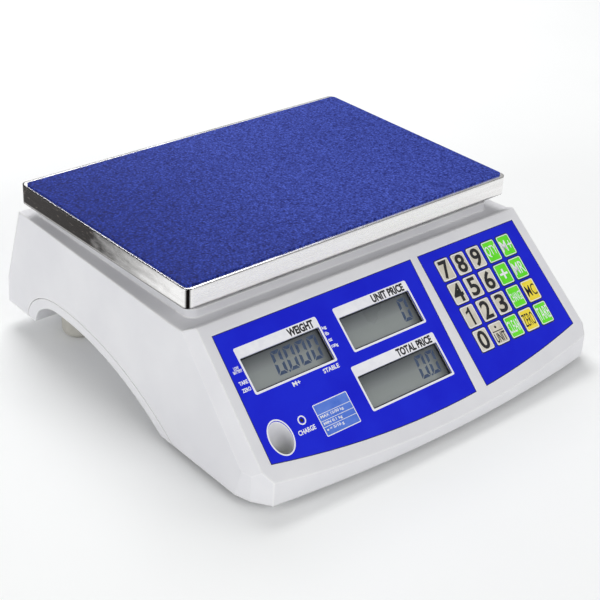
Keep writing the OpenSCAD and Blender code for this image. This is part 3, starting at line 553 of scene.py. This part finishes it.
# Displays: printed white surround with its heading, walls and border in painted shadow, and segments on the glass
# Glass node, heading, the heading's width in millimetres and the figures shown
DISPLAYS = {
    "weight": ("lcd_weight", "WEIGHT", 22.5, "0.000"),
    "unit": ("lcd_unit_price", "UNIT PRICE", 30.5, "0"),
    "total": ("lcd_total_price", "TOTAL PRICE", 33.5, "0.0")}
SEGMENTS = {
    "top": [(0.7, 17.0), (7.9, 17.0), (5.8, 14.6), (2.8, 14.6)],
    "bottom": [(2.8, 2.4), (5.8, 2.4), (7.9, 0.0), (0.7, 0.0)],
    "upper_left": [(0.2, 16.6), (2.5, 14.1), (2.5, 10.0), (0.2, 8.8)],
    "lower_left": [(0.2, 8.2), (2.5, 7.0), (2.5, 2.9), (0.2, 0.4)],
    "upper_right": [(8.4, 16.6), (6.1, 14.1), (6.1, 10.0), (8.4, 8.8)],
    "lower_right": [(8.4, 8.2), (6.1, 7.0), (6.1, 2.9), (8.4, 0.4)]}
ZERO = ["top", "bottom", "upper_left", "lower_left", "upper_right", "lower_right"]
DIGIT_SLANT, DIGIT_PITCH, DIGIT_HEIGHT = 0.09, 10.4 * MM, 17.0 * MM
holes = top_loops("display_overlay", FROM_PANEL)[1:]
for tag, (node, heading, heading_w, digits) in DISPLAYS.items():
    lo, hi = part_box(node)
    centre = FROM_PANEL @ ((lo + hi) / 2)
    hole = min(holes, key=lambda l: abs(mean(l)[0] - centre.x) + abs(mean(l)[1] - centre.y))
    x0, x1, y0, y1 = spans(hole)
    surround = rounded_outline(x0 - SURROUND_SIDE, x1 + SURROUND_SIDE, y0 - SURROUND_SIDE,
                               y1 + SURROUND_HEAD, SURROUND_CORNER)
    flat(f"surround_{tag}", [surround, grown(hole, 0.02 * MM)], 0, 2 * LIFT, TO_PANEL, WHITE_INK, "housing")
    words(f"heading_{tag}", heading, x1 - 2.5 * MM - heading_w / 2 * MM, y1 + 3.7 * MM, heading_w * MM,
          6.0 * MM, 2 * LIFT, TO_PANEL, BLACK_INK, "housing", BOLD_HEADING)
    glass = max((FROM_PANEL @ v.co).z for v in nodes[node].data.vertices)
    # Painted shadow: a dark wall inside each window and a dark border on its glass, in place of the shade there.
    ring(f"wall_{tag}", hole, *SHADOW_WALL, glass + 0.01 * MM, WALL_TOP, TO_PANEL, SHADOW_BLACK, "housing")
    ring(f"border_{tag}", hole, *SHADOW_BORDER, glass, glass + BORDER_LIFT, TO_PANEL, SHADOW_BLACK,
         "housing")
    right = x1 - 3.2 * MM
    base = y0 + (y1 - y0 - DIGIT_HEIGHT) / 2 + 0.8 * MM
    loops = []
    count = sum(c == "0" for c in digits)
    place = 0
    for c in digits:
        left = right - (count - place) * DIGIT_PITCH
        if c == ".":
            loops.append(circle_outline(left - 0.6 * MM, base + 0.5 * MM, 0.8 * MM, 14))
            continue
        for part in ZERO:
            loops.append([(left + px * MM + py * MM * DIGIT_SLANT, base + py * MM)
                          for px, py in SEGMENTS[part]])
        place += 1
    flat(f"segments_{tag}", loops, glass, glass + FIGURE_LIFT, TO_PANEL, SEGMENT, "housing")

# Level window and charge lamp: white printed rims
for loop in holes:
    x0, x1, y0, y1 = spans(loop)
    if x1 - x0 < 5 * MM:
        lamp = mean(loop)
        ring("lamp_rim", loop, 0.9 * MM, 1.8 * MM, 0, 2 * LIFT, TO_PANEL, WHITE_INK, "housing")
    elif x1 - x0 < 30 * MM:
        ring("level_rim", loop, 0.02 * MM, 1.0 * MM, 0, 2 * LIFT, TO_PANEL, WHITE_INK, "housing")

# Small printed words beside the weight display
wide_holes = [l for l in holes if spans(l)[1] - spans(l)[0] > 50 * MM]
wx0, wx1, wy0, wy1 = spans(min(wide_holes, key=lambda l: spans(l)[0]))
# Name, words, middle, and width and height in millimetres
LEGENDS = [
    ("legend_low", "LOW\nBATTERY", wx0 - 5.8 * MM, wy1 - 6.0 * MM, 7.2, 4.6),
    ("legend_tare", "TARE", wx0 - 5.8 * MM, wy1 - 15.2 * MM, 7.0, 2.7),
    ("legend_zero", "ZERO", wx0 - 6.0 * MM, wy1 - 20.2 * MM, 7.0, 2.7),
    ("legend_kg", "kg", wx1 + 3.9 * MM, wy1 - 2.0 * MM, 3.6, 3.0),
    ("legend_lb", "lb", wx1 + 3.9 * MM, wy1 - 6.2 * MM, 3.0, 2.6),
    ("legend_oz", "oz", wx1 + 3.9 * MM, wy1 - 11.2 * MM, 3.2, 2.0),
    ("legend_100g", "100g", wx1 + 5.0 * MM, wy1 - 16.0 * MM, 5.6, 2.8),
    ("legend_memory", "M+", (wx0 + wx1) / 2 - 3 * MM, wy0 - 4.6 * MM, 6.6, 3.2),
    ("legend_stable", "STABLE", wx1 - 6.5 * MM, wy0 - 4.6 * MM, 14.0, 3.2),
    ("legend_charge", "CHARGE", lamp[0] + 0.1 * MM, lamp[1] - 7.3 * MM, 14.5, 3.4)]
for name, text, x, y, width, height in LEGENDS:
    words(name, text, x, y, width * MM, height * MM, LIFT, TO_PANEL, WHITE_INK, "housing", BOLD_LEGEND)

# Pale rating plate: plain capacity lines, each ruled above
plate = (lamp[0] + 12.2 * MM, lamp[0] + 42.2 * MM, lamp[1] - 17.0 * MM, lamp[1] + 5.8 * MM)
flat("plate_field", [rounded_outline(*plate, 0.8 * MM)], 0, LIFT, TO_PANEL, PALE_BLUE_INK, "housing")
ring("plate_border", rounded_outline(*plate, 0.8 * MM), -0.6 * MM, 0.0, LIFT, 2 * LIFT, TO_PANEL,
     WHITE_INK, "housing")
RATINGS = [("MAX 15/30 kg", 20.0), ("MIN 0.1 kg", 16.0), ("e = 5/10 g", 15.0)]
for i, (drop, (text, width)) in enumerate(zip((7.6, 12.4, 16.6), RATINGS)):
    y = plate[3] - drop * MM
    rule = rounded_outline(plate[0] + 0.4 * MM, plate[1] - 0.4 * MM, y, y + 0.35 * MM, 0.1 * MM)
    words(f"plate_words_{i}", text, plate[0] + (2 + width / 2) * MM, y - 2.0 * MM, width * MM, 2.5 * MM,
          2 * LIFT, TO_PANEL, WHITE_INK, "housing", BOLD_RATING)
    flat(f"plate_rule_{i}", [rule], LIFT, 2 * LIFT, TO_PANEL, WHITE_INK, "housing")

# Back display: the same surrounds and figures, read from behind
FROM_REAR = TO_REAR.inverted()
rear_outline, *rear_holes = top_loops("rear_overlay", FROM_REAR)
rear_holes.sort(key=lambda l: spans(l)[0])
ring("rear_overlay_edge", rear_outline, *FILM_EDGE, 0, 2 * LIFT, TO_REAR, NAVY_INK, "housing")
rear_glass = max((FROM_REAR @ v.co).z for v in nodes["rear_lcds"].data.vertices)
# Tag, heading, the heading's width in millimetres and the number of figures shown
REAR_DISPLAYS = [("weight", "WEIGHT", 19, 4), ("unit", "UNIT PRICE", 30, 1), ("total", "TOTAL PRICE", 33, 2)]
for hole, (tag, heading, heading_w, figures) in zip(rear_holes, REAR_DISPLAYS):
    x0, x1, y0, y1 = spans(hole)
    ring(f"rear_surround_{tag}", hole, 0.02 * MM, 1.3 * MM, 0, 2 * LIFT, TO_REAR, WHITE_INK, "housing")
    words(f"rear_heading_{tag}", heading, (x0 + x1) / 2, y1 + 4.4 * MM, heading_w * MM, 3.6 * MM, LIFT,
          TO_REAR, WHITE_INK, "housing", BOLD_LEGEND)
    loops = [[(x1 - 3 * MM - (i + 1) * DIGIT_PITCH + px * MM + py * MM * DIGIT_SLANT,
               (y0 + y1 - DIGIT_HEIGHT) / 2 + py * MM) for px, py in SEGMENTS[part]]
             for i in range(figures) for part in ZERO]
    flat(f"rear_segments_{tag}", loops, rear_glass, rear_glass + FIGURE_LIFT, TO_REAR, SEGMENT, "housing")


# ------------------------------------------------------- floor, light, camera
def floor():
    """Plain pale paper, wide enough to pass for endless."""
    g = Graph("floor_paper")
    fibres = g.noise(6.0, 5.0)
    fine = g.noise(900.0, 2.0)
    material = g.surface(colour=g.mix(fibres, srgb(246, 247, 247), srgb(250, 251, 251)), shine=0.1,
                         rough=g.ramp(fine, 0.3, 0.7, 0.85, 0.95), normal=g.bump(fine, 0.00001))
    bm = bmesh.new()
    bmesh.ops.create_grid(bm, x_segments=1, y_segments=1, size=40)
    mesh = bpy.data.meshes.new("floor")
    bm.to_mesh(mesh)
    bm.free()
    mesh.materials.append(material)
    obj = bpy.data.objects.new("floor", mesh)
    scene.collection.objects.link(obj)


def softbox(name, place, target, size, power):
    light = bpy.data.lights.new(name, "AREA")
    light.shape = "RECTANGLE"
    light.size, light.size_y = size
    light.energy = power
    obj = bpy.data.objects.new(name, light)
    obj.location = place
    obj.rotation_euler = (Vector(target) - Vector(place)).to_track_quat("-Z", "Y").to_euler()
    scene.collection.objects.link(obj)


def camera():
    """A view from about 43 degrees left of the front and 29 degrees above."""
    forward = Vector((0.59072, 0.64154, -0.48936)).normalized()
    roll = math.radians(3.077)
    level = forward.cross(Vector((0, 0, 1))).normalized()
    above = level.cross(forward)
    right = level * math.cos(roll) + above * math.sin(roll)
    up = above * math.cos(roll) - level * math.sin(roll)
    data = bpy.data.cameras.new("camera")
    data.lens = 87.57
    data.sensor_width = 36
    obj = bpy.data.objects.new("camera", data)
    axes = Matrix((right, up, -forward)).transposed().to_4x4()
    obj.matrix_world = Matrix.Translation((-0.6477, -0.7018, 0.572)) @ axes
    scene.collection.objects.link(obj)
    scene.camera = obj


floor()
camera()
scene.view_settings.view_transform = "Standard"
world = bpy.data.worlds.new("studio")
world.use_nodes = True
world.node_tree.nodes["Background"].inputs[0].default_value = (1.0, 1.0, 1.0, 1.0)
world.node_tree.nodes["Background"].inputs[1].default_value = 0.40
scene.world = world
softbox("back_light", (0.45, 1.15, 1.5), (0, 0.05, 0.05), (1.0, 1.0), 22)
softbox("front_fill", (0.0, -1.9, 0.95), (0, -0.1, 0.05), (1.6, 0.7), 14)
softbox("left_fill", (-1.9, -0.1, 0.6), (0, 0, 0.05), (1.2, 0.7), 11)
